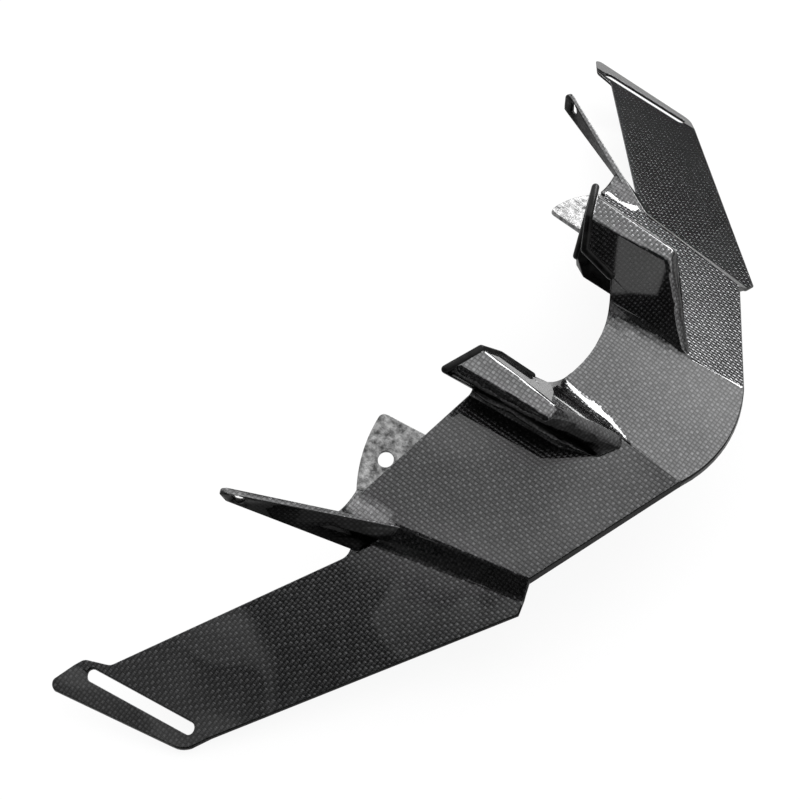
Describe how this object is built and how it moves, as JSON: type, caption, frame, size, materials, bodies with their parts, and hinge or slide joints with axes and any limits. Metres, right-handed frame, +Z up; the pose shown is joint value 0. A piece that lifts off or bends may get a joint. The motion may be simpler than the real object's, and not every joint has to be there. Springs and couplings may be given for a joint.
{
  "type": "lower front fairing",
  "caption": "Carbon laminate lower front fairing with swept winglets, slotted tips, leaning hollow fins beside a centre channel, rear arms and drilled tabs.",
  "frame": {"origin": "centre of the part's bounding box, on the middle plane", "axes": "+X across the bike towards its left-hand winglet as seen from the front, -Y to the front of the bike, +Z up"},
  "size_m": [0.5022, 0.2128, 0.1108],
  "materials": {
    "carbon_shell": "clear-coated plain-weave carbon laminate",
    "raw_laminate": "rough uncoated bag side of a carbon laminate"
  },
  "bodies": {
    "root": {"fairing_shell": "carbon_shell", "left_mount_tab": "raw_laminate", "right_mount_tab": "raw_laminate"}
  },
  "joints": []
}
